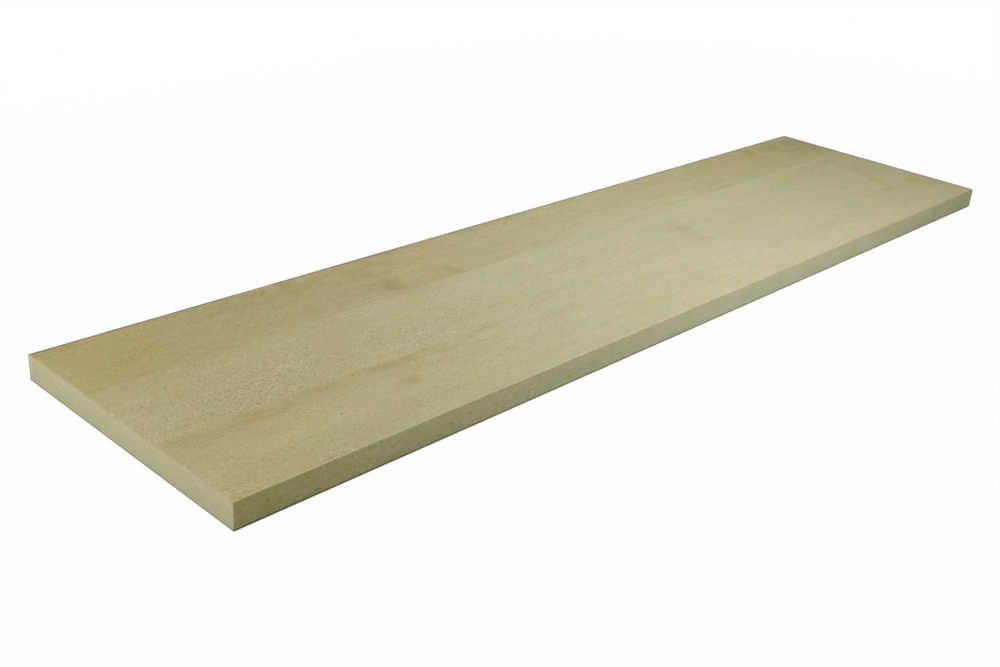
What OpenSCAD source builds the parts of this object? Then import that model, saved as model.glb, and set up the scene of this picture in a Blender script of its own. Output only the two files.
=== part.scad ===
// Edge-glued wood panel: three full-length staves glued edge to edge.
//
// X runs along the grain, Y across the staves from front to back, and Z up.
// The origin is the centre of the underside.

/* [Panel] */
// Length of the panel, along the grain
panel_length = 800; // [300:10:2500]
// Thickness of the panel
panel_thickness = 16; // [12:0.5:40]

/* [Staves] */
// Width of the front stave
front_stave_width = 68.5; // [30:0.5:120]
// Width of the middle stave
middle_stave_width = 68.5; // [30:0.5:120]
// Width of the back stave
back_stave_width = 63; // [30:0.5:120]

/* [Finish] */
// Radius of the softened outer edges
arris_radius = 0.6; // [0.2:0.1:4]

/* [Hidden] */
$fn = 48;

panel_width = front_stave_width + middle_stave_width + back_stave_width;
front_edge_y = -panel_width / 2;
front_joint_y = front_edge_y + front_stave_width;
back_joint_y = front_joint_y + middle_stave_width;

// A rectangle from the origin, with its four corners rounded by a true arc.
module rounded_rectangle(width, height, radius) {
    translate([radius, 0])
        square([width - 2 * radius, height]);
    translate([0, radius])
        square([width, height - 2 * radius]);
    for (x = [radius, width - radius], y = [radius, height - radius])
        translate([x, y])
            circle(r = radius);
}

// The glued and sanded panel as one block: its long and end edges are softened all round.
module sanded_blank() {
    translate([-panel_length / 2, front_edge_y, 0])
        intersection() {
            // plan: the four upright corners
            linear_extrude(panel_thickness)
                rounded_rectangle(panel_length, panel_width, arris_radius);
            // section: the four edges along the grain
            rotate([90, 0, 90])
                linear_extrude(panel_length)
                    rounded_rectangle(panel_width, panel_thickness, arris_radius);
            // side view: the four edges across the ends
            translate([0, panel_width, 0])
                rotate([90, 0, 0])
                    linear_extrude(panel_width)
                        rounded_rectangle(panel_length, panel_thickness, arris_radius);
        }
}

// One stave: the slice of the blank from joint_y over the stave's width.
module stave(joint_y, width) {
    intersection() {
        sanded_blank();
        translate([-panel_length / 2, joint_y, 0])
            cube([panel_length, width, panel_thickness]);
    }
}

module front_stave() {
    color("#bfb489") stave(front_edge_y, front_stave_width);
}

module middle_stave() {
    color("#c2b894") stave(front_joint_y, middle_stave_width);
}

module back_stave() {
    color("#b3a377") stave(back_joint_y, back_stave_width);
}

front_stave();
middle_stave();
back_stave();
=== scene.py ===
# %% [markdown]
# # An edge-glued wood panel
#
# The object is a flat board of pale hardwood, 800 x 200 x 16 mm, made of three full-length
# staves that are glued edge to edge and sanded as one. There is no hardware and no coating.
# All of its looks are in the wood itself: the tone of each stave, brown stains, growth rings,
# short dark flecks and a few pin knots, and in the slightly softened arrises.
#
# The construction model gives the three staves at their real size. This script dresses each
# of them: a finer mesh inside the same box, and a solid wood finish that runs through the
# stave, so that the faces, the edges and the ends show the same wood.

import math

import bpy
from mathutils import Matrix, Vector, noise


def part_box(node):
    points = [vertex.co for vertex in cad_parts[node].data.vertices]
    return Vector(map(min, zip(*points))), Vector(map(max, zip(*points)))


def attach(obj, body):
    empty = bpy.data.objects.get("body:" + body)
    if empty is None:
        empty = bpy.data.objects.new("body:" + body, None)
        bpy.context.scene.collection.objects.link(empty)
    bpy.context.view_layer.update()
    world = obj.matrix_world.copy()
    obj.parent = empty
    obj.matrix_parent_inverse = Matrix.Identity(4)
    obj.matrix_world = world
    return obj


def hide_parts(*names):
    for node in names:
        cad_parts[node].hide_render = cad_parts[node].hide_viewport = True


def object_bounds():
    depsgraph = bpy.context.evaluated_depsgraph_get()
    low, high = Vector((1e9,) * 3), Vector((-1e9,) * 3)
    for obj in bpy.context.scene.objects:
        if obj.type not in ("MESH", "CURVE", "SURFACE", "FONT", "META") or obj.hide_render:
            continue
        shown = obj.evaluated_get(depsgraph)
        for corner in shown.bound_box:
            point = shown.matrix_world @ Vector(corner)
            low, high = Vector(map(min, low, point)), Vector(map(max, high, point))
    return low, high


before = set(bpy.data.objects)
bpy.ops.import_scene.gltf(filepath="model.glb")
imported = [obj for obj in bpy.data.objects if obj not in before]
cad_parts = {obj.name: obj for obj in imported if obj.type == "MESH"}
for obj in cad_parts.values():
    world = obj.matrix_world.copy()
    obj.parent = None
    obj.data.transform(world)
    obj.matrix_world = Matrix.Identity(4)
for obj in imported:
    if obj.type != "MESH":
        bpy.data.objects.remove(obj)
cad_low, cad_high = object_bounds()
panel_length = cad_high.x - cad_low.x
panel_width = cad_high.y - cad_low.y
panel_thickness = cad_high.z - cad_low.z
MM = 0.001

print("panel, mm:", [round(side / MM, 1) for side in (panel_length, panel_width, panel_thickness)])

# %% [markdown]
# ## The camera
#
# The board lies on the floor and the camera looks down on it from beyond its front left
# corner, so that the top, the long front edge and the left end all show. A camera can be
# placed by hand, by a constraint or from angles. Angles are used here: azimuth 0 looks along
# +Y, elevation is above the horizon, and a small roll tilts the picture. The aim is a point
# on the top face.

# %% Camera
camera_azimuth = math.radians(-47.8)
camera_elevation = math.radians(25.16)
camera_roll = math.radians(4.34)
camera_distance = 0.773
camera_aim = Vector((-0.1641, -0.0476, cad_high.z))

towards_camera = Vector((
    math.sin(camera_azimuth) * math.cos(camera_elevation),
    -math.cos(camera_azimuth) * math.cos(camera_elevation),
    math.sin(camera_elevation),
))
level_turn = (-towards_camera).to_track_quat("-Z", "Y").to_matrix()

camera_data = bpy.data.cameras.new("camera")
camera_data.lens = 44.47
camera_data.sensor_width = 36.0
camera_data.clip_start = 0.01
camera_data.clip_end = 100.0
camera = bpy.data.objects.new("camera", camera_data)
camera.matrix_world = (
    Matrix.Translation(camera_aim + towards_camera * camera_distance)
    @ (level_turn @ Matrix.Rotation(camera_roll, 3, "Z")).to_4x4()
)
bpy.context.scene.collection.objects.link(camera)
bpy.context.scene.camera = camera
bpy.context.scene.view_settings.view_transform = "Standard"
print("camera at", [round(value, 3) for value in camera.matrix_world.translation])

# %% [markdown]
# ## Writing shaders as arithmetic
#
# Blender's finishes are graphs of nodes. Placed by hand they are hard to read, and so are
# long lists of nodes and links. Two small classes keep them short. A Socket is one output of
# a node, and takes part in Python arithmetic as a number does: each operator adds a Math
# node. A Finish is a material under construction: its node method adds any other node from
# its settings and the values or links of its sockets. Colours and vectors have three parts,
# which a Math node would lose, so they go through Mix and Vector Math nodes.


# %% Sockets that do arithmetic
def connect(tree, entry, value):
    """Gives a node's entry a value: another socket's output, a number or a tuple."""
    if isinstance(value, Socket):
        tree.links.new(value.output, entry)
    elif entry.type == "RGBA":
        entry.default_value = (*value, 1.0)
    else:
        entry.default_value = value


def maths(tree, operation, *values, clamp=False):
    """One Math node on numbers and sockets."""
    node = tree.nodes.new("ShaderNodeMath")
    node.operation = operation
    node.use_clamp = clamp
    for place, value in enumerate(values):
        connect(tree, node.inputs[place], value)
    return Socket(tree, node.outputs[0])


class Socket:
    """An output of a shader node that can be added, scaled and compared like a number."""

    def __init__(self, tree, output):
        self.tree = tree
        self.output = output

    def __add__(self, other):
        return maths(self.tree, "ADD", self, other)

    def __radd__(self, other):
        return maths(self.tree, "ADD", other, self)

    def __sub__(self, other):
        return maths(self.tree, "SUBTRACT", self, other)

    def __rsub__(self, other):
        return maths(self.tree, "SUBTRACT", other, self)

    def __mul__(self, other):
        return maths(self.tree, "MULTIPLY", self, other)

    def __rmul__(self, other):
        return maths(self.tree, "MULTIPLY", other, self)

    def __truediv__(self, other):
        return maths(self.tree, "DIVIDE", self, other)

    def of(self, operation, *others):
        """Any other operation of the Math node, with this socket as its first value."""
        return maths(self.tree, operation, self, *others)

    def clamped(self):
        """The same value, kept between 0 and 1."""
        return maths(self.tree, "ADD", self, 0.0, clamp=True)


# %% A node tree that grows by one method
class Graph:
    """A node tree with one way to add a node: its type, its settings, then its sockets."""

    def __init__(self, tree):
        self.tree = tree

    def node(self, kind, settings=None, entries=None, result=0):
        """Adds a node and gives one of its outputs."""
        node = self.tree.nodes.new(kind)
        for name, value in (settings or {}).items():
            if name == "stops":
                set_stops(node.color_ramp, value)
            else:
                setattr(node, name, value)
        for name, value in (entries or {}).items():
            connect(self.tree, node.inputs[name], value)
        return Socket(self.tree, node.outputs[result])


def set_stops(ramp, stops):
    """Puts a colour ramp's stops where a list of (place, colour) says."""
    while len(ramp.elements) > 1:
        ramp.elements.remove(ramp.elements[-1])
    ramp.elements[0].position = stops[0][0]
    ramp.elements[0].color = (*stops[0][1], 1.0)
    for place, colour in stops[1:]:
        ramp.elements.new(place).color = (*colour, 1.0)


# %% A finish under construction
class Finish(Graph):
    """A material whose Principled shader is ready to take colours and numbers."""

    def __init__(self, name):
        self.material = bpy.data.materials.new(name)
        self.material.use_nodes = True
        super().__init__(self.material.node_tree)
        self.shader = self.tree.nodes["Principled BSDF"]
        self.surface = self.tree.nodes["Material Output"].inputs["Surface"]

    def set(self, **entries):
        """Sets the shader's sockets; a name's underscores stand for spaces."""
        for name, value in entries.items():
            connect(self.tree, self.shader.inputs[name.replace("_", " ")], value)

    def vector(self, operation, *values):
        """One Vector Math node that gives a vector."""
        return self.node("ShaderNodeVectorMath", {"operation": operation}, dict(enumerate(values)))

    def split(self, vector):
        """The three numbers of a vector."""
        parts = self.node("ShaderNodeSeparateXYZ", entries={0: vector}).output.node.outputs
        return [Socket(self.tree, part) for part in parts]

    def length_of(self, vector):
        """The length of a vector."""
        return self.node("ShaderNodeVectorMath", {"operation": "LENGTH"}, {0: vector}, "Value")

    def ramp(self, value, start, end, low=0.0, high=1.0):
        """A smooth step from low to high as the value goes from start to end."""
        return self.node(
            "ShaderNodeMapRange",
            {"interpolation_type": "SMOOTHSTEP"},
            {"Value": value, "From Min": start, "From Max": end, "To Min": low, "To Max": high},
        )

    def mix(self, share, first, second):
        """A colour between two, by the share of the second."""
        return self.node("ShaderNodeMix", {"data_type": "RGBA"}, {0: share, 6: first, 7: second}, 2)

    def shade(self, colour, amount):
        """A colour made lighter or darker by a number."""
        return self.node("ShaderNodeVectorMath", {"operation": "SCALE"}, {0: colour, "Scale": amount})

    def tint(self, colour, by):
        """A colour times another: each part of the light is made stronger or weaker."""
        return self.vector("MULTIPLY", colour, by)


print("shader helpers ready")

# %% [markdown]
# ## Floor and world
#
# The board lies on a wide white floor under an even white sky. To the camera both are plain
# white, which a Light Path node does: where a ray comes from the camera, or is mirrored or
# let through, the world has strength 1. Every other ray sees a dimmer sky, which is the fill
# light. The floor works the same way but keeps a little of its own shading, so that a trace
# of the board's shadow stays on it.
#
# Where the board meets the floor there is a hair-thin dark line, in which hardly any light
# reaches the floor. A shadow alone would be too weak there, because the floor glows. So the
# floor doesn't glow in that line and has a darker colour, and the line is made wider at the
# left of the long edges than at their right, and narrower along the ends.

# %% World
sky_fill = 0.30

world = bpy.data.worlds.new("sky")
world.use_nodes = True
bpy.context.scene.world = world
sky = Graph(world.node_tree)


def seen_directly(graph):
    """1 on camera, glossy and transmission rays, 0 on the rays that only carry light."""
    path = graph.node("ShaderNodeLightPath")
    rays = path.output.node.outputs
    camera_ray = Socket(graph.tree, rays["Is Camera Ray"])
    glossy_ray = Socket(graph.tree, rays["Is Glossy Ray"])
    clear_ray = Socket(graph.tree, rays["Is Transmission Ray"])
    return camera_ray.of("MAXIMUM", glossy_ray).of("MAXIMUM", clear_ray)


sky_strength = sky_fill + (1.0 - sky_fill) * seen_directly(sky)
connect(sky.tree, world.node_tree.nodes["Background"].inputs["Color"], (1.0, 1.0, 1.0))
connect(sky.tree, world.node_tree.nodes["Background"].inputs["Strength"], sky_strength)
print("sky fill", sky_fill)

# %% Floor
floor_radius = 15.0

floor_mesh = bpy.data.meshes.new("floor")
corners = [
    (x * floor_radius, y * floor_radius, 0.0)
    for x, y in ((-1, -1), (1, -1), (1, 1), (-1, 1))
]
floor_mesh.from_pydata(corners, [], [(0, 1, 2, 3)])
floor = bpy.data.objects.new("floor", floor_mesh)
bpy.context.scene.collection.objects.link(floor)
print("floor", 2 * floor_radius, "m wide")

# %% How far each place on the floor is from the panel
floor_white = (0.80, 0.80, 0.80)
floor_finish = Finish("floor_white")
floor_finish.set(Roughness=1.0, Specular_IOR_Level=0.0)
floor_place = floor_finish.node("ShaderNodeTexCoord", result="Object")
half_panel = (panel_length / 2, panel_width / 2, 0.0)
off_panel = floor_finish.vector("SUBTRACT", floor_finish.vector("ABSOLUTE", floor_place), half_panel)
off_panel = floor_finish.vector("MAXIMUM", off_panel, (0.0, 0.0, 0.0))

# %% The dark line where the panel meets the floor
contact_shade = (0.48, 0.47, 0.31)
contact_width_left, contact_width_right = 0.74 * MM, 0.14 * MM
narrower_at_ends = (1.65, 1.0, 1.0)
fade_start, fade_end = 0.5, 1.0

rightness = (floor_finish.split(floor_place)[0] / panel_length + 0.5).clamped()
contact_width = rightness * (contact_width_right - contact_width_left) + contact_width_left
off_contact = floor_finish.length_of(floor_finish.vector("MULTIPLY", off_panel, narrower_at_ends))
open_floor = floor_finish.ramp(off_contact / contact_width, fade_start, fade_end)
floor_finish.set(Base_Color=floor_finish.mix(open_floor, contact_shade, floor_white))

# %% The floor's glow
glow_share_near = 0.97
glow_reach_near, glow_reach_far = 0.15, 0.60

glow = floor_finish.node("ShaderNodeEmission", entries={"Color": (1.0, 1.0, 1.0), "Strength": 1.0})
lit = Socket(floor_finish.tree, floor_finish.shader.outputs[0])
glow_share = floor_finish.ramp(
    floor_finish.length_of(off_panel), glow_reach_near, glow_reach_far, glow_share_near, 1.0
)
glow_seen = glow_share * open_floor * seen_directly(floor_finish)
lit_and_glow = floor_finish.node("ShaderNodeMixShader", entries={0: glow_seen, 1: lit, 2: glow})
connect(floor_finish.tree, floor_finish.surface, lit_and_glow)
floor_mesh.materials.append(floor_finish.material)
print("floor finish", len(floor_finish.tree.nodes), "nodes")

# %% [markdown]
# ## Lamps
#
# Three soft area lamps model the board: one low in front, a little right of the middle, that
# makes the front edge and the near half of the top brightest there; one behind and above it
# that carries the light to the back; and one beyond the left end. Area lamps are used because
# their soft edges suit a matt face. They are hidden from the camera.


# %% Lamps
def add_lamp(name, place, aim, size, watts):
    """A rectangular area lamp at place, turned to aim, that the camera doesn't see."""
    lamp_data = bpy.data.lights.new(name, "AREA")
    lamp_data.shape = "RECTANGLE"
    lamp_data.size, lamp_data.size_y = size
    lamp_data.energy = watts
    lamp = bpy.data.objects.new(name, lamp_data)
    lamp.location = place
    lamp.rotation_mode = "QUATERNION"
    lamp.rotation_quaternion = (Vector(aim) - Vector(place)).to_track_quat("-Z", "Y")
    lamp.visible_camera = False
    bpy.context.scene.collection.objects.link(lamp)
    print(name, watts, "W")


add_lamp(
    "front_lamp", place=(0.068, -0.288, 0.323), aim=(0.068, 0.0, 0.01), size=(0.40, 0.25), watts=1.05
)
add_lamp(
    "back_lamp", place=(0.105, 0.291, 0.40), aim=(0.105, 0.0, 0.01), size=(0.40, 0.30), watts=0.94
)
add_lamp(
    "left_lamp", place=(-0.744, 0.06, 0.267), aim=(0.0, 0.0, 0.01), size=(0.50, 0.30), watts=1.37
)

# %% [markdown]
# ## The shape of a stave
#
# A real stave is planed square, glued to its neighbours and sanded with them, so only the
# edges on the outside of the panel are softened, and by hand, so never quite evenly. It also
# gets small dents on those arrises. A bevel modifier on a box would give an even arris and
# no dents. Here the stave's skin is a grid of points on a box, closer together near the
# arrises and dents, and each point is then pulled in to the softened shape, so the mesh
# stays inside the construction model's box.

# %% Where the points of a stave lie
arris_radius = 0.6 * MM
arris_wander = 0.30
corner_angles = (45.0, 30.0, 15.0, 0.0)
plain_step = 4.0 * MM
closest_step = 0.02 * MM
dent_steps = (-1.0, -0.75, -0.5, -0.25, 0.0, 0.25, 0.5, 0.75, 1.0)


def stations(low, high, round_low, round_high, extra):
    """Places along one side of the box: close together at a rounded end, even between."""
    curve = [arris_radius * (1.0 - math.tan(math.radians(angle))) for angle in corner_angles]
    first = low + (arris_radius if round_low else 0.0)
    last = high - (arris_radius if round_high else 0.0)
    count = max(2, round((last - first) / plain_step))
    places = [first + (last - first) * step / count for step in range(count + 1)]
    places += [low + offset for offset in curve] if round_low else []
    places += [high - offset for offset in curve] if round_high else []
    places += [place for place in extra if low < place < high]
    places.sort()
    kept = places[:1]
    for place in places[1:]:
        if place - kept[-1] > closest_step:
            kept.append(place)
    return kept


print("arris", arris_radius / MM, "mm, give or take", arris_wander * 100, "%")

# %% [markdown]
# ### Skin, arrises and dents
#
# The grid's points are shared between the six faces, so the skin closes without seams. To
# round an edge, each point is measured from a smaller box inside: a point that is outside it
# in two directions or more lies by an edge, and is moved to the arris radius from the inner
# box. The radius comes from smooth noise, so the arris is a little wider in some places.


# %% Skin of a stave
def box_skin(xs, ys, zs):
    """Points and outward quads on the surface of a grid-divided box."""
    points, number, quads = [], {}, []

    def at(i, j, k):
        if (i, j, k) not in number:
            number[i, j, k] = len(points)
            points.append(Vector((xs[i], ys[j], zs[k])))
        return number[i, j, k]

    last_x, last_y, last_z = len(xs) - 1, len(ys) - 1, len(zs) - 1
    for i in range(last_x):
        for j in range(last_y):
            quads.append((at(i, j, 0), at(i, j + 1, 0), at(i + 1, j + 1, 0), at(i + 1, j, 0)))
            quads.append((
                at(i, j, last_z), at(i + 1, j, last_z), at(i + 1, j + 1, last_z), at(i, j + 1, last_z),
            ))
    for i in range(last_x):
        for k in range(last_z):
            quads.append((at(i, 0, k), at(i + 1, 0, k), at(i + 1, 0, k + 1), at(i, 0, k + 1)))
            quads.append((
                at(i, last_y, k), at(i, last_y, k + 1), at(i + 1, last_y, k + 1), at(i + 1, last_y, k),
            ))
    for j in range(last_y):
        for k in range(last_z):
            quads.append((at(0, j, k), at(0, j, k + 1), at(0, j + 1, k + 1), at(0, j + 1, k)))
            quads.append((
                at(last_x, j, k), at(last_x, j + 1, k), at(last_x, j + 1, k + 1), at(last_x, j, k + 1),
            ))
    return points, quads


# %% Softened arrises
slow_waves, quick_waves = 25.0, 130.0  # cells of the noise in a metre
slow_share, quick_share = 0.7, 0.5
no_distance = 1e-7


def arris_at(point):
    """The arris radius near a point: the nominal one, wandering by smooth noise."""
    slow = noise.noise(point * slow_waves)
    quick = noise.noise(point * quick_waves + Vector((5.0, 0.0, 0.0)))
    return arris_radius * (1.0 - arris_wander * abs(slow_share * slow + quick_share * quick))


def soften(point, low, high, open_low, open_high):
    """Moves a point of the box onto the rounded box; the glued sides stay square."""
    radius = arris_at(point)
    inner = Vector((
        min(max(point.x, low.x + radius), high.x - radius),
        min(
            max(point.y, low.y + (radius if open_low else 0.0)),
            high.y - (radius if open_high else 0.0),
        ),
        min(max(point.z, low.z + radius), high.z - radius),
    ))
    out = point - inner
    if sum(abs(value) > no_distance for value in out) < 2:
        return point
    return inner + out * (radius / out.length)


# %% [markdown]
# ### Dents and the joint line
#
# A dent is a small push towards the middle of the board, strongest at its centre and gone at
# its rim. The glued sides meet face to face. Along them the surface dips by a few hundredths
# of a millimetre, as wood does when it has moved a little since it was sanded, which is what
# makes a glue joint just visible in raking light.

# %% Dents, given from the left end, the front edge and the underside, in mm
joint_dip = 0.04 * MM
joint_dip_width = 0.25 * MM
dent_facts = [
    # along, across, up, rim, depth
    (0.0, 183.0, 16.0, 1.5, 0.50),
    (0.0, 61.0, 16.0, 1.3, 0.45),
    (0.0, 128.0, 16.0, 0.9, 0.25),
    (0.0, 22.0, 16.0, 0.8, 0.20),
    (0.0, 96.0, 0.0, 1.2, 0.35),
    (0.0, 0.0, 16.0, 1.3, 0.30),
    (118.0, 0.0, 16.0, 1.2, 0.30),
    (331.0, 0.0, 16.0, 0.9, 0.22),
    (566.0, 0.0, 16.0, 1.4, 0.35),
    (702.0, 0.0, 0.0, 1.6, 0.45),
    (246.0, 0.0, 0.0, 1.1, 0.30),
    (800.0, 0.0, 16.0, 1.4, 0.40),
    (800.0, 74.0, 16.0, 1.3, 0.40),
    (800.0, 142.0, 0.0, 1.0, 0.30),
    (800.0, 200.0, 16.0, 1.2, 0.35),
    (154.0, 200.0, 16.0, 1.2, 0.35),
    (418.0, 200.0, 16.0, 0.9, 0.25),
    (655.0, 200.0, 0.0, 1.4, 0.40),
]


# %% A dent
class Dent:
    """A dent in an arris: its centre, the radius of its rim and its depth."""

    def __init__(self, along, across, up, rim, depth):
        self.centre = cad_low + Vector((along, across, up)) * MM
        self.rim = rim * MM
        self.depth = depth * MM

    def push(self, point):
        """How far the dent moves a point, towards the middle of the board's section."""
        near = (point - self.centre).length / self.rim
        if near >= 1.0:
            return Vector((0.0, 0.0, 0.0))
        return self.inward() * (self.depth * (1.0 - near * near) ** 2)

    def inward(self):
        """From the arris into the wood, square to the edges that meet there."""
        middle = (cad_low + cad_high) / 2
        sides = []
        for axis in range(3):
            place = self.centre[axis]
            from_side = min(abs(place - cad_low[axis]), abs(place - cad_high[axis]))
            inwards = math.copysign(1.0, middle[axis] - place)
            sides.append(inwards if from_side < closest_step else 0.0)
        return Vector(sides).normalized()


dents = [Dent(*facts) for facts in dent_facts]
print(len(dents), "dents")


# %% Make a stave
def stave_mesh(node):
    """The finer skin of one stave, inside the box of its CAD node."""
    low, high = (Vector(corner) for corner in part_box(node))
    middle = (low + high) / 2
    open_low = low.y - cad_low.y < MM
    open_high = cad_high.y - high.y < MM
    own_dents = [dent for dent in dents if low.y - dent.rim < dent.centre.y < high.y + dent.rim]
    extra = [
        [dent.centre[axis] + dent.rim * step for dent in own_dents for step in dent_steps]
        for axis in range(3)
    ]
    by_joint = [low.y + joint_dip_width, high.y - joint_dip_width]
    xs = stations(low.x, high.x, True, True, extra[0])
    ys = stations(low.y, high.y, open_low, open_high, extra[1] + by_joint)
    zs = stations(low.z, high.z, True, True, extra[2])
    points, quads = box_skin(xs, ys, zs)
    shaped = []
    for point in points:
        on_joint = (point.y == low.y and not open_low) or (point.y == high.y and not open_high)
        moved = soften(point, low, high, open_low, open_high)
        if on_joint and point.z in (low.z, high.z):
            moved = moved + Vector((0.0, 0.0, math.copysign(joint_dip, middle.z - point.z)))
        if on_joint and point.x in (low.x, high.x):
            moved = moved + Vector((math.copysign(joint_dip, middle.x - point.x), 0.0, 0.0))
        for dent in own_dents:
            moved = moved + dent.push(point)
        shaped.append(moved)
    mesh = bpy.data.meshes.new(node + "_wood")
    mesh.from_pydata(shaped, [], quads)
    mesh.shade_smooth()
    mesh.set_sharp_from_angle(angle=math.radians(50))
    return mesh


staves = {}
for node in ("front_stave", "middle_stave", "back_stave"):
    stave = bpy.data.objects.new(node + "_wood", stave_mesh(node))
    bpy.context.scene.collection.objects.link(stave)
    weighted = stave.modifiers.new("flat_faces", "WEIGHTED_NORMAL")
    weighted.keep_sharp = True
    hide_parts(node)
    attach(stave, "root")
    staves[node] = stave
    print(stave.name, len(stave.data.polygons) * 2, "triangles")

# %% [markdown]
# ## Solid wood
#
# Wood can be painted on with an image, or made as a pattern that fills space. The second way
# is used: every mark is a function of the place inside the stave, in metres, so a ring that
# leaves the top face carries on down the edge, and the sawn end shows the same rings cut
# across. Stretching a noise along X makes it look like fibres on the faces and like dots on
# the ends, as in real wood. The grain wanders a little to each side as it runs.
#
# Each pattern is a layer with a number, and the number shifts its noise, so that no two
# layers and no two staves are alike.

# %% Shifts of the noise: any uneven steps will do
layer_shift = (5.1, 9.7, 0.0)
seed_shift = (17.3, 0.0, 6.9)
wander_upwards = 0.35
raggedness = 1.15


# %% A finish that knows its place in the wood
class Wood(Finish):
    """A finish whose patterns are functions of the place in the stave; sizes are in mm."""

    def __init__(self, name, seed, slope, wander):
        super().__init__(name)
        self.seed = seed
        self.place = self.node("ShaderNodeTexCoord", result="Object")
        self.along, self.across, self.up = self.split(self.place)
        drift = self.noise((210.0, 60.0, 60.0), layer=1, place=self.place, detail=1.0) - 0.5
        sideways = self.along * slope + drift * (wander * MM)
        shift = self.node("ShaderNodeCombineXYZ", entries={"Y": sideways, "Z": sideways * wander_upwards})
        self.grain = self.vector("ADD", self.place, shift)
        self.ragged = (self.noise((15.0, 6.0, 6.0), layer=10, detail=3.0) - 0.5) * raggedness

    def scaled(self, size, layer, place=None):
        """The place in cells of the given size, shifted so that no two layers are alike."""
        per_metre = tuple(1.0 / (side * MM) for side in size)
        shift = tuple(self.seed * own + layer * step for own, step in zip(seed_shift, layer_shift))
        return self.vector("MULTIPLY_ADD", place or self.grain, per_metre, shift)

    def noise(self, size, layer, place=None, detail=2.0, roughness=0.5):
        """Smooth noise about 0.5, with features of the given size."""
        return self.node(
            "ShaderNodeTexNoise",
            entries={
                "Vector": self.scaled(size, layer, place),
                "Scale": 1.0,
                "Detail": detail,
                "Roughness": roughness,
            },
            result="Fac",
        )

    def lengthwise(self, start, end, at_left, at_right):
        """A number that changes along the board, between two places in mm from its left end."""
        return self.ramp(self.along, cad_low.x + start * MM, cad_low.x + end * MM, at_left, at_right)

    def fading(self, at_right):
        """1 in the left part of the board, going down to a share of it in the right part."""
        return self.lengthwise(350.0, 550.0, 1.0, at_right)


print("wood helpers ready")

# %% [markdown]
# ### Growth rings
#
# The staves are cut flat from a large tree: the pith is about 0.3 m under or over the board,
# so the rings cross its ends as lines almost parallel to the faces, and meet the top at so
# small an angle that each one spreads into a wide, wavy band. The tree tapers, so the pith's
# height changes along the board. In a pale, even-grained wood the rings are faint: a slow
# rise in tone to a thin darker rim, and a sudden drop after it.


# %% Rings
ring_profile = [
    (0.0, (0.42, 0.42, 0.42)),
    (0.10, (0.0, 0.0, 0.0)),
    (0.60, (0.22, 0.22, 0.22)),
    (0.90, (1.0, 1.0, 1.0)),
    (1.0, (0.42, 0.42, 0.42)),
]


def rings(wood, pith_across, pith_up, lean, ring_width):
    """0 in the early wood to 1 at each ring's dark rim. The pith is in mm from the origin."""
    waver = (wood.noise((95.0, 22.0, 30.0), layer=2, detail=2.0) - 0.5) * (3.2 * MM)
    from_pith = wood.node(
        "ShaderNodeCombineXYZ",
        entries={
            "Y": wood.across - pith_across * MM + wood.along * lean[0],
            "Z": wood.up - pith_up * MM + wood.along * lean[1] + waver,
        },
    )
    ring = wood.length_of(from_pith) / (ring_width * MM)
    uneven = wood.noise((400.0, 400.0, 5.5), layer=3, detail=0.0) * 0.9
    in_ring = (ring + uneven).of("FRACT")
    tone = wood.node("ShaderNodeValToRGB", {"stops": ring_profile}, {0: in_ring})
    return tone * wood.fading(0.48)


# %% [markdown]
# ### Fibres, flecks and figure
#
# Several sizes of pattern lie over the rings. The finest are the fibres, hair-thin lines
# along the grain, and the pores, which are little more than specks. Then come short dashes
# that gather in rows, some of them drawn out into long faint lines, and scattered marks and
# flecks, where rays and pores cross the surface. The widest is the figure: mottle of every
# size, soft clouds and patches stretched along the grain, and faint bars across it where the
# fibres wave. Noise does all but the flecks, which are the cells of a Voronoi texture, each
# with its own length.
#
# Plain noise is equally strong everywhere, and the grain of real wood isn't. So the weak
# parts of some patterns are made weaker and their strong parts stronger, some patches of the
# board are made busier than others, and the grain fades towards the right.


# %% Strong and weak places in a pattern
def peaked(value, spread):
    """The same pattern with its weak parts weaker and its strong parts stronger."""
    return value * (value.of("ABSOLUTE") * (0.75 / spread) + 0.30)


def busy(wood):
    """Where the fine grain is strong, in patches: some are almost plain, others crowded."""
    return wood.ramp(wood.noise((20.0, 5.5, 5.5), layer=18, detail=3.0), 0.34, 0.66, 0.42, 1.42)


# %% Fine layers
def fibres(wood):
    """Hair-thin lines along the grain."""
    lines = wood.noise((4.5, 0.42, 0.5), layer=4, detail=2.0, roughness=0.6) - 0.5
    return lines * wood.fading(0.44)


def dashes(wood):
    """Short dashes, lighter and darker than the wood, in rows, and lines drawn out from them."""
    short = peaked(wood.noise((2.1, 0.80, 0.85), layer=5, detail=2.0, roughness=0.65) - 0.5, 0.10)
    row = wood.ramp(wood.noise((120.0, 1.8, 1.8), layer=13, detail=1.0), 0.40, 0.60, -0.60, 0.55)
    drawn_out = wood.noise((45.0, 0.95, 0.95), layer=23, detail=1.0) - 0.5
    return short * (0.90 + row * wood.fading(0.22)) + drawn_out * 0.42


def pores(wood):
    """The finest grain: specks that are only just long enough to show the direction."""
    return peaked(wood.noise((1.25, 0.55, 0.60), layer=16, detail=1.0, roughness=0.6) - 0.5, 0.10)


def marks(wood):
    """Scattered small marks, light or dark, with plain wood between them."""
    place = wood.noise((2.2, 1.5, 1.5), layer=19, detail=1.0)
    return wood.ramp(place, 0.61, 0.72) - wood.ramp(place, 0.39, 0.28)


def flecks(wood):
    """1 in a fleck, 0 between flecks."""
    cell = wood.node(
        "ShaderNodeTexVoronoi",
        entries={"Vector": wood.scaled((5.0, 1.25, 2.0), layer=6), "Scale": 1.0},
        result="Distance",
    )
    chance = Socket(wood.tree, cell.output.node.outputs["Color"])
    size = wood.split(chance)[0] * 0.34
    return wood.ramp(cell - size, 0.0, -0.10)


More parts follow.
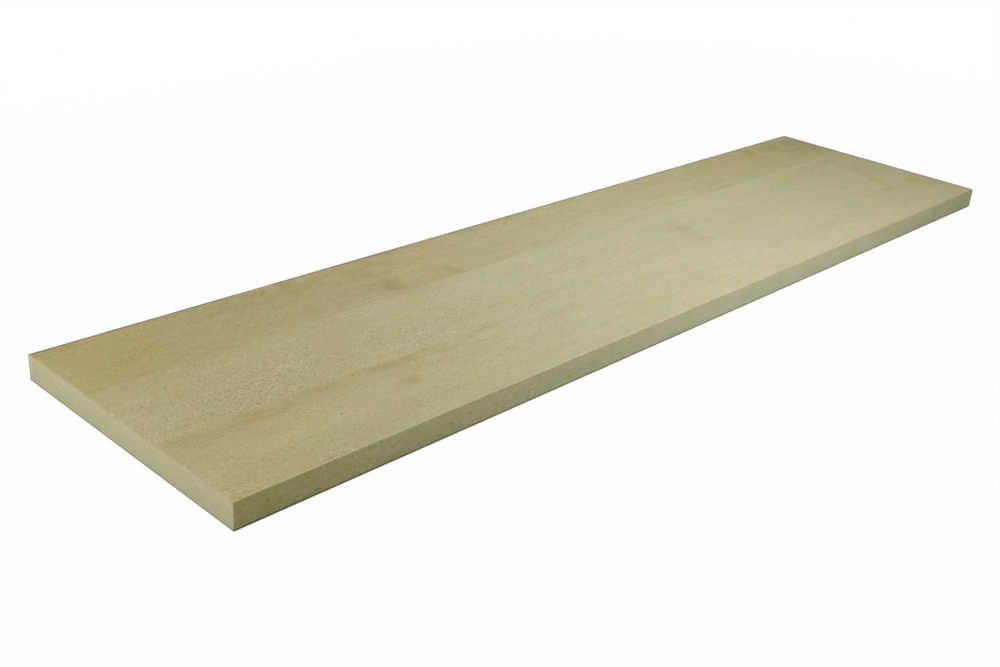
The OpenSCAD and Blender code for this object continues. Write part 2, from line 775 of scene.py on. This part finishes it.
# %% Wide layers
def mottle(wood):
    """Uneven tone at every size from some centimetres down to a millimetre."""
    return wood.noise((26.0, 6.5, 6.5), layer=14, detail=5.0, roughness=0.75) - 0.5


def clouds(wood):
    """Slow changes of tone, longer along the grain than across it."""
    wide = wood.noise((150.0, 26.0, 24.0), layer=7, detail=2.0) - 0.5
    small = wood.noise((34.0, 7.5, 8.0), layer=8, detail=2.0) - 0.5
    return wide + small * 0.7


def bars(wood):
    """Faint bars across the grain."""
    return wood.noise((6.0, 26.0, 14.0), layer=9, detail=1.0) - 0.5


def patches(wood):
    """Slow light and dark patches, some centimetres long."""
    return wood.noise((46.0, 16.0, 16.0), layer=21, detail=2.0) - 0.5


# %% Changes of hue
def straw(wood):
    """0 where the wood is whiter, 1 where it is yellower, in patches of every size."""
    return wood.ramp(wood.noise((24.0, 12.0, 12.0), layer=22, detail=4.0, roughness=0.65), 0.36, 0.64)


def blush(wood):
    """0 where the wood is greenish, 1 where it is pinkish, in patches."""
    return wood.ramp(wood.noise((30.0, 13.0, 12.0), layer=15, detail=4.0, roughness=0.6), 0.36, 0.64)


def olive(wood):
    """0 where the wood is greyer, 1 where it is more olive, in the blotches of edges and ends."""
    return wood.ramp(wood.noise((11.0, 5.0, 4.0), layer=24, detail=3.0, roughness=0.6), 0.36, 0.64)


def russet(wood):
    """0 where the wood is greener, 1 where it is redder, in blotches a little smaller."""
    return wood.ramp(wood.noise((8.0, 4.0, 3.0), layer=25, detail=3.0, roughness=0.65), 0.36, 0.64)


print("ring and texture layers ready")

# %% [markdown]
# ### Stains and pin knots
#
# Brown stains are what marks these boards most. Each is an ellipse in space, warped by noise
# so that its rim is ragged, and fading out at its edge and with depth. A Mapping node of the
# texture kind turns the place into the ellipse's own measure in one step, in which its rim is
# at distance 1. Yellower, greener, paler and darker areas are made in the same way, and so
# are pin knots, small, round and dark.


# %% Stains
def stain(wood, along, across, length, width, turn=0.0, depth=10.0, edge=0.0):
    """1 inside a stain, 0 outside. Its middle is in mm from the left end and front edge."""
    own_place = wood.node(
        "ShaderNodeMapping",
        {"vector_type": "TEXTURE"},
        {
            "Vector": wood.place,
            "Location": (cad_low.x + along * MM, cad_low.y + across * MM, cad_high.z),
            "Rotation": (0.0, 0.0, math.radians(turn)),
            "Scale": (length / 2 * MM, width / 2 * MM, depth * MM),
        },
    )
    return wood.ramp(wood.length_of(own_place) + wood.ragged, 1.0, edge)


def together(masks):
    """Several stains of different strength as one mask."""
    total = 0.0
    for strength, mask in masks:
        total = mask * strength + total
    return total.clamped()


# %% [markdown]
# ### Edges, ends and arrises
#
# The sawn ends and the planed long edges differ from the sanded faces. The ends have one
# tone across the staves, a little paler in its upper third, and the edges are slightly
# darker than the faces. Both have small olive and reddish blotches, and are cooler and
# darker low down. The arrises carry painted shade and a painted highlight. Painted shade
# darkens the lower arrises of the long edges, like the shade where the board meets the
# floor, and darkens the top arrises at the back and the right end in patches. A painted
# highlight makes the front top arris a little lighter at the left. Each of these could be a
# material of its own on its own polygons, but then each would stop at a sharp line. Here
# they are masks, made from the place alone, in one material.

# %% Measures of the surfaces other than the faces
skin = 0.6 * MM
end_lap = 0.8 * MM
end_zone = 10.8 * MM
end_zone_waver = 1.2 * MM
glue_line = 0.10 * MM


# %% Where the ends and the long edges are
def near_end(wood):
    """1 on the sawn ends, 0 elsewhere. Over the top arris it laps a little way onto the face."""
    on_top = wood.ramp(wood.up, cad_high.z - 0.6 * MM, cad_high.z - 0.1 * MM)
    reach = wood.along.of("ABSOLUTE") + on_top * end_lap
    return wood.ramp(reach, cad_high.x - skin, cad_high.x - skin / 3)


def near_edge(wood):
    """1 on the two long edges of the panel below their top arris, 0 elsewhere."""
    below_top = wood.ramp(wood.up, cad_high.z - skin / 4, cad_high.z - skin)
    return below_top * wood.ramp(wood.across.of("ABSOLUTE"), cad_high.y - skin, cad_high.y - skin / 3)


# %% Painted shade and a painted highlight on the arrises
def painted_arris_shade(wood):
    """Painted shade: light taken from the low arrises, and in patches from the back and right top
    arrises.
    """
    from_edge = cad_high.y - wood.across.of("ABSOLUTE")
    # painted shade along the foot of the long edges, where the board meets the floor
    low = wood.ramp(wood.up, 0.95 * MM, 0.40 * MM) * wood.lengthwise(0.0, 260.0, 0.98, 0.66)
    high = wood.ramp(wood.up, cad_high.z - 0.8 * MM, cad_high.z - 0.2 * MM)
    low_edge = low * wood.ramp(from_edge, 1.2 * MM, 0.5 * MM)
    # painted shade, in patches, on the top arrises at the back and the right end
    patchy = wood.ramp(wood.noise((34.0, 34.0, 60.0), layer=20, detail=3.0), 0.34, 0.62, 0.35, 0.85)
    back_edge = high * wood.ramp(cad_high.y - wood.across, 2.6 * MM, 0.7 * MM) * patchy
    right_end = high * wood.ramp(cad_high.x - wood.along, 3.4 * MM, 0.9 * MM) * (patchy * 0.6 + 0.42)
    return low_edge.of("MAXIMUM", back_edge).of("MAXIMUM", right_end)


def painted_arris_highlight(wood):
    """A painted highlight: the share of light added to the front top arris at the left."""
    # painted highlight along the front top arris, strongest at the left
    high = wood.ramp(wood.up, cad_high.z - 0.35 * MM, cad_high.z - 0.10 * MM)
    from_front = cad_high.y + wood.across
    return high * wood.ramp(from_front, 1.9 * MM, 0.8 * MM) * wood.lengthwise(350.0, 500.0, 0.11, 0.0)


# %% Patterns of a sawn end
def end_streaks(wood):
    """Faint lines along a sawn end, parallel to the faces."""
    return wood.noise((30.0, 12.0, 0.9), layer=12, place=wood.place, detail=3.0, roughness=0.65) - 0.5


def nicks(wood):
    """1 in the small bright chips that the saw left on an end, 0 elsewhere."""
    chip = wood.noise((30.0, 3.4, 1.1), layer=17, place=wood.place, detail=1.0)
    return wood.ramp(chip, 0.59, 0.72)


print("edges, ends and arrises ready")

# %% [markdown]
# ### Colours
#
# The colour starts from the stave's own pale tone and turns warmer towards both ends. This
# is partly the yellowing that such boards get first at their ends, and partly a painted
# sheen: the wood is paler and whiter a little right of the middle, where the lamps light the
# board most. Clouds take it towards brown, and stains and patches tint it. A tint is a colour
# that the wood's own colour is multiplied by, so that one tint suits every stave and what
# lies under it still shows. Only the pin knots and chips cover the wood.

# %% Tints that stains and patches give the wood, as shares of its own colour
tints = {
    "brown": (0.76, 0.65, 0.46),
    "yellow": (1.00, 0.975, 0.84),
    "green": (0.80, 1.00, 0.72),
    "pale": (1.09, 1.10, 1.18),
    "pink": (1.03, 0.975, 0.955),
    "cool": (0.88, 0.965, 0.97),
    "light": (1.10, 1.11, 1.10),
    "dark": (0.82, 0.82, 0.82),
}
greenish, pinkish = (0.982, 1.008, 0.995), (1.018, 0.993, 1.000)
whiter, yellower = (1.000, 0.999, 1.020), (1.000, 1.001, 0.980)
side_grey, side_olive = (1.000, 0.998, 1.065), (1.000, 1.002, 0.935)
side_green, side_russet = (0.980, 1.008, 0.998), (1.020, 0.992, 1.002)
end_upper_tint, end_lower_tint = (1.045, 1.015, 1.010), (1.005, 1.010, 1.005)
edge_tint, low_tint = (0.905, 0.950, 0.938), (0.930, 0.975, 1.020)

# %% Colours of their own
end_tone = (0.487, 0.461, 0.270)
fine_tone = (0.47, 0.47, 0.36)
pin_knot = (0.16, 0.11, 0.055)
pale_chip = (0.68, 0.66, 0.52)


# %% Tinting
def tinted(wood, colour, stains):
    """The colour with every stain on it: each has a tint, a strength and a place."""
    for name, tint in tints.items():
        masks = [(strength, stain(wood, *facts)) for kind, strength, *facts in stains if kind == name]
        if masks:
            colour = wood.mix(together(masks), colour, wood.tint(colour, tint))
    return colour


def two_tints(wood, mask, colour, first, second):
    """The colour with the first tint where the mask is 0 and the second where it is 1."""
    return wood.mix(mask, wood.tint(colour, first), wood.tint(colour, second))


# %% The wood's tone before its grain
# painted sheen: the wood is palest here, where the lamps light it most, and yellower towards the ends
sheen_middle, warm_reach = 460.0, 430.0
cloud_level = 0.12


def yellowing_and_sheen(wood):
    """0 a little right of the middle, palest under the painted sheen; about 1 at the left end, 0.6 at the
    right.
    """
    reach = (wood.along - (cad_low.x + sheen_middle * MM)) / (warm_reach * MM)
    cloud = (wood.noise((120.0, 40.0, 30.0), layer=11) - 0.5) * 0.9
    return (reach * reach + cloud * reach.of("ABSOLUTE")).clamped()


def wood_tone(wood, tones, cloudiness, stains):
    """The stave's tone with its yellowing and painted sheen, clouds, stains and changes of hue."""
    pale, warm, brown = tones
    colour = wood.mix(yellowing_and_sheen(wood), pale, warm)
    colour = wood.mix((clouds(wood) * cloudiness + cloud_level).clamped(), colour, brown)
    colour = tinted(wood, colour, stains)
    colour = two_tints(wood, blush(wood), colour, greenish, pinkish)
    return two_tints(wood, straw(wood), colour, whiter, yellower)


# %% [markdown]
# ### One stave's finish
#
# The wide layers make the tone a little lighter or darker, and the fine layers are added to
# it. The edges and ends then take over where their masks are 1, and the arrises, the glue
# lines and the specks come last. Roughness follows the same fibres as the colour, and a
# shallow bump the same fibres, dashes and flecks, so that the grain is one thing and not
# three.


# %% The layers of one stave
def wood_layers(wood, ring_facts, texture):
    """The layers that are used in more than one place."""
    return {
        "fibre": fibres(wood),
        "dash": dashes(wood) * texture["dash_place"](wood),
        "pore": pores(wood),
        "fleck": flecks(wood) * texture["fleck_place"](wood),
        "ring": rings(wood, *ring_facts),
    }


def slow_changes(wood, layers, texture):
    """How much lighter or darker the wide layers make the wood, about 1."""
    return (
        1.0
        + bars(wood) * texture["bars"]
        - layers["ring"] * texture["rings"]
        + patches(wood) * texture["patches"]
    )


def fine_changes(wood, layers, texture, on_edge):
    """How much lighter or darker the fine layers make the wood, about 0."""
    lines = (
        layers["fibre"] * texture["fibres"]
        + layers["dash"] * texture["dashes"]
        + layers["pore"] * texture["pore_place"](wood)
    )
    fine = (
        lines * busy(wood)
        + marks(wood) * texture["marks"]
        + mottle(wood) * texture["mottle"]
        - layers["fleck"] * texture["flecks"]
    )
    edge_strength = wood.lengthwise(160.0, 300.0, 1.12, 0.85)
    return fine * (1.0 + on_edge * (edge_strength - 1.0))


# %% The colour of edges and ends
end_strength = {"streaks": 0.36, "nicks": 0.06, "upper nicks": 0.14, "rings": 0.035, "grain": 0.34}
low_start, low_full = 11.0 * MM, 1.0 * MM


def end_colour(wood, layers):
    """A sawn end: paler in its upper part, with streaks, nicks and the grain cut across."""
    zone = wood.up + end_streaks(wood) * end_zone_waver
    upper = wood.ramp(zone, end_zone - MM / 2, end_zone + MM / 2)
    colour = two_tints(wood, upper, end_tone, end_lower_tint, end_upper_tint)
    changes = (
        1.0
        + end_streaks(wood) * end_strength["streaks"]
        + nicks(wood) * (end_strength["nicks"] + upper * end_strength["upper nicks"])
        - layers["ring"] * end_strength["rings"]
        + layers["fibre"] * end_strength["grain"]
        + layers["pore"] * end_strength["grain"]
    )
    return two_tints(wood, blush(wood), wood.shade(colour, changes), greenish, pinkish)


def blotched_side(wood, colour, on_side):
    """The blotches of edges and ends, and their cooler, darker tone low down."""
    blotched = two_tints(wood, olive(wood), colour, side_grey, side_olive)
    blotched = two_tints(wood, russet(wood), blotched, side_green, side_russet)
    colour = wood.mix(on_side, colour, blotched)
    low = wood.ramp(wood.up, low_start, low_full) * on_side
    return wood.mix(low, colour, wood.tint(colour, low_tint))


def with_glue_lines(wood, colour, joints):
    """A hair-thin darker line at each glued side, clearest at the left."""
    for joint in joints:
        at_joint = wood.ramp((wood.across - joint).of("ABSOLUTE"), glue_line, glue_line / 3)
        colour = wood.shade(colour, 1.0 - at_joint * wood.lengthwise(250.0, 450.0, 0.16, 0.05))
    return colour


# %% Gloss and relief
plain_roughness, fibre_roughness, end_roughness = 0.60, 0.12, 0.10
fibre_relief, dash_relief, fleck_relief = 0.5, 0.4, 0.5
bump_strength, bump_height = 0.35, 0.06 * MM


def set_surface(wood, colour, layers, on_end):
    """Gives the shader its colour, and gloss and relief that follow the same layers."""
    relief = (
        layers["fibre"] * fibre_relief
        + layers["dash"] * dash_relief
        - layers["fleck"] * fleck_relief
    )
    bump_entries = {"Strength": bump_strength, "Distance": bump_height, "Height": relief}
    wood.set(
        Base_Color=colour,
        Roughness=plain_roughness + layers["fibre"] * fibre_roughness + on_end * end_roughness,
        Normal=wood.node("ShaderNodeBump", entries=bump_entries),
        Specular_IOR_Level=0.2,
    )


# %% The whole finish
def wood_finish(name, seed, slope, wander, tones, ring_facts, texture, stains, specks, joints):
    """A stave's material, from its tones, rings, textures, stains, specks and glued sides."""
    wood = Wood(name, seed, slope, wander)
    on_end = near_end(wood)
    on_edge = near_edge(wood)
    layers = wood_layers(wood, ring_facts, texture)
    slow = slow_changes(wood, layers, texture)
    fine = fine_changes(wood, layers, texture, on_edge)
    colour = wood.shade(wood_tone(wood, tones, texture["clouds"], stains), slow)
    colour = wood.vector("MULTIPLY_ADD", fine, fine_tone, colour)
    colour = wood.mix(on_edge, colour, wood.tint(colour, edge_tint))
    colour = wood.mix(on_end, colour, end_colour(wood, layers))
    colour = blotched_side(wood, colour, on_end.of("MAXIMUM", on_edge))
    # painted shade darkens the arrises, and a painted highlight lightens the front top arris at the left
    colour = wood.shade(colour, 1.0 - painted_arris_shade(wood) + painted_arris_highlight(wood))
    colour = with_glue_lines(wood, colour, joints)
    for tone, *facts in specks:
        colour = wood.mix(stain(wood, *facts), colour, tone)
    set_surface(wood, colour, layers, on_end)
    return wood.material


print("wood finish ready")

# %% [markdown]
# ## The three staves
#
# The front stave is the palest, with a brown streak along its glued side at the left. The
# middle one carries most of the flecks, densest at the left and along its front half. The
# back one is from nearer the heart: a browner tone, with smudges across the grain. All three
# are cut so that their rings lie nearly flat.

# %% The glued sides
front_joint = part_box("front_stave")[1][1]
back_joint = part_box("middle_stave")[1][1]
print("glued sides at", round(front_joint / MM, 1), "and", round(back_joint / MM, 1), "mm")

# %% Stains of the front stave
# Each stain: tint, strength, along, across, length, width, and where they aren't the usual
# ones turn, depth and edge. Places and sizes are in mm, from the panel's left end and front
# edge, and the turn is in degrees.
front_stains = [
    # the brown streak along the glued side
    ("brown", 0.27, 26.0, 60.0, 130.0, 26.0, 0.0, 14.0, 0.1),
    ("brown", 0.30, 100.0, 65.0, 190.0, 12.0, 0.0, 14.0),
    ("brown", 0.40, 162.0, 62.5, 52.0, 17.0),
    ("brown", 0.22, 115.0, 60.0, 220.0, 26.0),
    ("brown", 0.25, 190.0, 58.0, 46.0, 9.0, -4.0),
    ("brown", 0.42, 234.0, 63.5, 84.0, 11.0, 2.0),
    # brown beside it, in the middle of the stave
    ("brown", 0.48, 148.0, 40.0, 26.0, 16.0, 6.0, 8.0),
    ("brown", 0.12, 190.0, 48.0, 130.0, 40.0, 0.0, 8.0),
    # yellow areas, the widest first
    ("yellow", 0.45, 180.0, 40.0, 330.0, 120.0, 0.0, 12.0),
    ("yellow", 0.60, 145.0, 62.0, 300.0, 22.0),
    ("yellow", 0.35, 165.0, 46.0, 120.0, 44.0),
    ("yellow", 0.40, 120.0, 12.0, 200.0, 30.0),
    # light and dark areas
    ("light", 0.50, 80.0, 30.0, 200.0, 52.0),
    ("light", 0.40, 18.0, 10.0, 80.0, 44.0),
    ("light", 0.40, 4.0, 62.0, 40.0, 18.0),
    ("light", 0.30, 190.0, 30.0, 120.0, 50.0),
    ("light", 0.50, 140.0, 6.0, 120.0, 26.0),
    ("light", 0.25, 620.0, 20.0, 160.0, 40.0),
    ("dark", 0.30, 802.0, 30.0, 70.0, 90.0),
    # slanting yellow bands left of the middle, and whiter wood at the left end
    ("yellow", 0.55, 345.0, 22.0, 80.0, 30.0, 5.0),
    ("yellow", 0.35, 235.0, 14.0, 120.0, 26.0, 3.0),
    ("yellow", 0.55, 415.0, 26.0, 60.0, 20.0, 8.0),
    ("brown", 0.12, 300.0, 52.0, 60.0, 20.0),
    ("pale", 0.30, 70.0, 36.0, 150.0, 34.0),
    ("pale", 0.40, 0.0, 34.0, 34.0, 90.0),
    # the right part
    ("pink", 0.60, 712.0, 50.0, 120.0, 22.0, 3.0),
    ("cool", 0.34, 600.0, 40.0, 330.0, 90.0),
    ("brown", 0.18, 716.0, 47.0, 110.0, 16.0, 3.0),
    ("yellow", 0.50, 700.0, 48.0, 180.0, 34.0, 2.0),
    ("brown", 0.38, 745.0, 66.5, 38.0, 15.0, 4.0),
    ("brown", 0.42, 780.0, 49.0, 36.0, 22.0),
    ("green", 0.17, 790.0, 30.0, 380.0, 200.0, 0.0, 12.0),
    ("cool", 0.90, 804.0, 34.0, 50.0, 120.0, 0.0, 12.0),
    # the long edge
    ("brown", 0.30, 0.0, 0.0, 150.0, 1.6, 0.0, 40.0),
    ("green", 0.30, 0.0, 0.0, 420.0, 1.6, 0.0, 40.0),
    ("yellow", 0.55, 100.0, 0.0, 640.0, 1.6, 0.0, 40.0),
    ("cool", 0.70, 800.0, 0.0, 300.0, 1.6, 0.0, 40.0),
]
print(len(front_stains), "stains on the front stave")


# %% Front stave
def front_dash_place(wood):
    """Fewer dashes towards the right."""
    return wood.lengthwise(100.0, 500.0, 1.0, 0.45) + clouds(wood) * 1.2


front_wood = wood_finish(
    "front_stave_wood",
    seed=1,
    slope=0.020,
    wander=7.0,
    tones=((0.507, 0.480, 0.307), (0.521, 0.448, 0.215), (0.391, 0.304, 0.132)),
    ring_facts=(-92.0, -285.0, (0.010, 0.014), 2.6),
    texture={
        "fleck_place": lambda wood: wood.ramp(clouds(wood), -0.15, 0.15, 0.2, 0.8),
        "dash_place": front_dash_place,
        "pore_place": lambda wood: wood.lengthwise(240.0, 340.0, 0.46, 0.30),
        "clouds": 0.35,
        "fibres": 0.35,
        "dashes": 0.19,
        "marks": 0.12,
        "patches": 0.055,
        "mottle": 0.30,
        "bars": 0.06,
        "flecks": 0.09,
        "rings": 0.030,
    },
    stains=front_stains,
    specks=[
        (pin_knot, 94.0, 34.5, 1.7, 1.3, 0.0, 9.0, 0.5),
        (pale_chip, 14.0, 26.3, 1.5, 1.0, 20.0, 0.8, 0.4),
    ],
    joints=[front_joint],
)

# %% Stains of the middle stave
middle_stains = [
    # yellow and brown along the far glued side
    ("yellow", 0.80, 70.0, 132.0, 230.0, 20.0, 0.0, 12.0),
    ("yellow", 0.25, 230.0, 100.0, 420.0, 200.0, 0.0, 12.0),
    ("brown", 0.22, 160.0, 136.0, 90.0, 12.0),
    ("brown", 0.26, 234.0, 136.0, 50.0, 14.0),
    ("brown", 0.16, 262.0, 134.0, 140.0, 28.0),
    # a brown smudge across the grain, and whiter wood beside it and at the left end
    ("brown", 0.24, 483.0, 98.0, 40.0, 80.0, 4.0),
    ("brown", 0.34, 489.5, 73.0, 24.0, 22.0, 10.0),
    ("brown", 0.28, 491.5, 96.5, 16.0, 17.0, 10.0),
    ("pale", 0.50, 507.0, 84.0, 28.0, 44.0),
    ("pale", 0.60, 8.0, 95.0, 70.0, 110.0),
    # light and dark areas
    ("light", 0.38, 400.0, 84.0, 260.0, 50.0, 0.0, 12.0),
    ("light", 0.28, 620.0, 76.0, 200.0, 30.0, 0.0, 12.0),
    ("dark", 0.12, 345.0, 133.0, 190.0, 14.0, 0.0, 12.0),
    ("dark", 0.28, 772.0, 104.0, 70.0, 90.0, 0.0, 12.0),
    ("dark", 0.40, 776.0, 132.0, 90.0, 40.0, 0.0, 12.0),
    ("dark", 0.26, 738.0, 128.0, 110.0, 36.0, 0.0, 12.0),
    ("dark", 0.25, 802.0, 128.0, 36.0, 44.0, 0.0, 12.0),
    # changes of hue
    ("pink", 0.60, 130.0, 100.0, 300.0, 50.0, 0.0, 14.0),
    ("cool", 0.34, 610.0, 84.0, 330.0, 60.0, 0.0, 12.0),
    ("yellow", 0.35, 650.0, 122.0, 240.0, 34.0, 0.0, 12.0),
    # brown at the far glued side and in the right part
    ("brown", 0.15, 700.0, 118.0, 150.0, 60.0, 0.0, 12.0),
    ("brown", 0.18, 480.0, 137.0, 380.0, 18.0, 0.0, 12.0),
    ("brown", 0.25, 608.0, 137.5, 34.0, 5.0, 0.0, 7.0, 0.2),
    ("brown", 0.15, 758.0, 100.0, 40.0, 50.0),
    ("pink", 0.50, 752.0, 72.0, 50.0, 14.0, 8.0, 8.0),
    ("brown", 0.28, 746.0, 71.0, 40.0, 14.0, 8.0, 8.0),
    ("green", 0.17, 790.0, 100.0, 360.0, 200.0, 0.0, 12.0),
    ("cool", 0.90, 804.0, 100.0, 50.0, 140.0, 0.0, 14.0),
]
print(len(middle_stains), "stains on the middle stave")


# %% Middle stave
def middle_crosswise(wood):
    """More of the grain shows in the front half of the stave."""
    return wood.ramp(wood.across, cad_low.y + 130.0 * MM, cad_low.y + 96.0 * MM, 0.28, 1.03)


def middle_dash_place(wood):
    """Many dashes at the left, few at the right."""
    return wood.lengthwise(100.0, 340.0, 1.0, 0.30) * middle_crosswise(wood) + clouds(wood) * 0.5


def middle_pore_place(wood):
    """Pores stand out at the left."""
    return wood.lengthwise(140.0, 340.0, 0.64, 0.0) * middle_crosswise(wood) + 0.33


middle_wood = wood_finish(
    "middle_stave_wood",
    seed=2,
    slope=-0.012,
    wander=5.0,
    tones=((0.494, 0.464, 0.282), (0.519, 0.450, 0.224), (0.378, 0.307, 0.141)),
    ring_facts=(12.0, 330.0, (-0.006, 0.012), 2.9),
    texture={
        "fleck_place": lambda wood: wood.lengthwise(120.0, 400.0, 0.9, 0.25),
        "dash_place": middle_dash_place,
        "pore_place": middle_pore_place,
        "clouds": 0.22,
        "fibres": 0.36,
        "dashes": 0.415,
        "marks": 0.12,
        "patches": 0.030,
        "mottle": 0.28,
        "bars": 0.06,
        "flecks": 0.14,
        "rings": 0.025,
    },
    stains=middle_stains,
    specks=[(pin_knot, 371.0, 99.0, 2.0, 1.5, 20.0, 9.0, 0.5)],
    joints=[front_joint, back_joint],
)

# %% Stains of the back stave
back_stains = [
    # brown smudges across the grain, in the left part
    ("brown", 0.52, 230.5, 151.0, 34.0, 36.0, 10.0, 9.0),
    ("brown", 0.22, 233.0, 150.0, 44.0, 44.0, 0.0, 9.0),
    ("brown", 0.20, 232.0, 177.0, 18.0, 50.0, 4.0, 9.0),
    ("brown", 0.18, 228.0, 172.0, 64.0, 34.0, 0.0, 9.0),
    ("brown", 0.42, 175.0, 194.0, 38.0, 15.0, 41.0, 9.0),
    ("brown", 0.22, 136.0, 187.0, 70.0, 32.0, 20.0, 9.0),
    ("brown", 0.16, 180.0, 180.0, 180.0, 50.0, 0.0, 9.0),
    ("brown", 0.44, 284.0, 148.0, 20.0, 26.0, 0.0, 8.0),
    ("brown", 0.18, 262.0, 142.0, 80.0, 18.0, 0.0, 8.0),
    # brown along the back edge
    ("brown", 0.40, 258.0, 199.0, 80.0, 18.0, 0.0, 9.0),
    ("brown", 0.32, 375.0, 199.0, 140.0, 24.0, 0.0, 9.0),
    ("brown", 0.26, 453.0, 195.0, 44.0, 26.0, 10.0, 9.0),
    ("brown", 0.16, 290.0, 188.0, 440.0, 50.0, 0.0, 9.0),
    ("brown", 0.16, 345.0, 199.0, 360.0, 22.0, 0.0, 9.0),
    ("brown", 0.16, 172.0, 182.0, 80.0, 40.0, 0.0, 9.0),
    ("brown", 0.16, 402.0, 182.0, 50.0, 44.0, 0.0, 9.0),
    # yellow, whiter and light areas
    ("yellow", 0.30, 250.0, 168.0, 420.0, 140.0, 0.0, 12.0),
    ("yellow", 0.38, 230.0, 172.0, 240.0, 76.0, 0.0, 12.0),
    ("yellow", 0.40, 225.0, 184.0, 260.0, 50.0, 0.0, 12.0),
    ("yellow", 0.55, 273.0, 149.0, 46.0, 24.0),
    ("pale", 0.80, 470.0, 144.0, 300.0, 50.0, 0.0, 12.0),
    ("pale", 0.60, 0.0, 164.0, 50.0, 80.0),
    ("light", 0.35, 4.0, 158.0, 44.0, 40.0),
    ("light", 0.20, 370.0, 139.0, 190.0, 14.0),
    ("light", 0.40, 130.0, 144.0, 110.0, 14.0),
    # dark areas at the right end and along the back edge
    ("dark", 0.30, 790.0, 168.0, 150.0, 110.0, 0.0, 12.0),
    ("dark", 0.25, 800.0, 180.0, 60.0, 110.0, 0.0, 12.0),
    ("dark", 0.30, 620.0, 199.0, 340.0, 24.0, 0.0, 12.0),
    ("dark", 0.22, 85.0, 199.0, 70.0, 14.0, 0.0, 12.0),
    ("dark", 0.24, 470.0, 199.0, 80.0, 14.0, 0.0, 12.0),
    ("brown", 0.22, 260.0, 199.0, 60.0, 12.0, 0.0, 12.0),
    ("green", 0.22, 690.0, 199.0, 260.0, 14.0, 0.0, 12.0),
    ("dark", 0.20, 700.0, 186.0, 200.0, 44.0, 0.0, 12.0),
    # whiter wood along the glued side
    ("light", 0.35, 560.0, 145.0, 120.0, 30.0, 0.0, 12.0),
    ("pale", 0.55, 610.0, 141.0, 460.0, 26.0, 0.0, 12.0),
    ("pale", 0.50, 480.0, 137.0, 360.0, 18.0, 0.0, 12.0),
    ("cool", 0.25, 510.0, 140.0, 200.0, 30.0, 0.0, 12.0),
    # the right part
    ("dark", 0.42, 744.0, 192.0, 76.0, 44.0, 10.0, 12.0),
    ("dark", 0.40, 798.0, 197.0, 40.0, 20.0, 0.0, 12.0),
    ("brown", 0.42, 608.0, 140.5, 40.0, 6.0, 0.0, 7.0, 0.2),
    ("brown", 0.44, 714.0, 186.0, 38.0, 22.0, 8.0, 8.0),
    ("brown", 0.20, 700.0, 168.0, 60.0, 16.0, 20.0, 8.0),
    ("brown", 0.28, 782.0, 182.0, 44.0, 40.0, 0.0, 8.0),
    ("brown", 0.12, 772.0, 168.0, 140.0, 70.0, 0.0, 12.0),
    ("yellow", 0.50, 690.0, 176.0, 360.0, 90.0, 0.0, 12.0),
    ("green", 0.17, 790.0, 168.0, 360.0, 140.0, 0.0, 12.0),
    ("green", 0.22, 650.0, 144.0, 240.0, 34.0, 0.0, 12.0),
    ("cool", 0.80, 804.0, 168.0, 50.0, 110.0, 0.0, 14.0),
]
print(len(back_stains), "stains on the back stave")

# %% Back stave
back_wood = wood_finish(
    "back_stave_wood",
    seed=3,
    slope=0.015,
    wander=9.0,
    tones=((0.444, 0.398, 0.218), (0.480, 0.394, 0.166), (0.342, 0.259, 0.097)),
    ring_facts=(80.0, -300.0, (0.008, 0.016), 2.5),
    texture={
        "fleck_place": lambda wood: wood.ramp(clouds(wood), -0.1, 0.2, 0.1, 0.9),
        "dash_place": lambda wood: wood.lengthwise(50.0, 250.0, 0.95, 0.40),
        "pore_place": lambda wood: 0.38,
        "clouds": 0.40,
        "fibres": 0.30,
        "dashes": 0.18,
        "marks": 0.12,
        "patches": 0.055,
        "mottle": 0.30,
        "bars": 0.08,
        "flecks": 0.09,
        "rings": 0.030,
    },
    stains=back_stains,
    specks=[
        (pin_knot, 273.0, 149.0, 3.2, 2.0, 0.0, 9.0, 0.4),
        (pin_knot, 203.0, 144.5, 1.4, 1.2, 0.0, 9.0, 0.5),
    ],
    joints=[back_joint],
)

# %% The finishes go onto the staves
finishes = {"front_stave": front_wood, "middle_stave": middle_wood, "back_stave": back_wood}
for node, material in finishes.items():
    staves[node].data.materials.append(material)
    print(material.name, len(material.node_tree.nodes), "nodes")
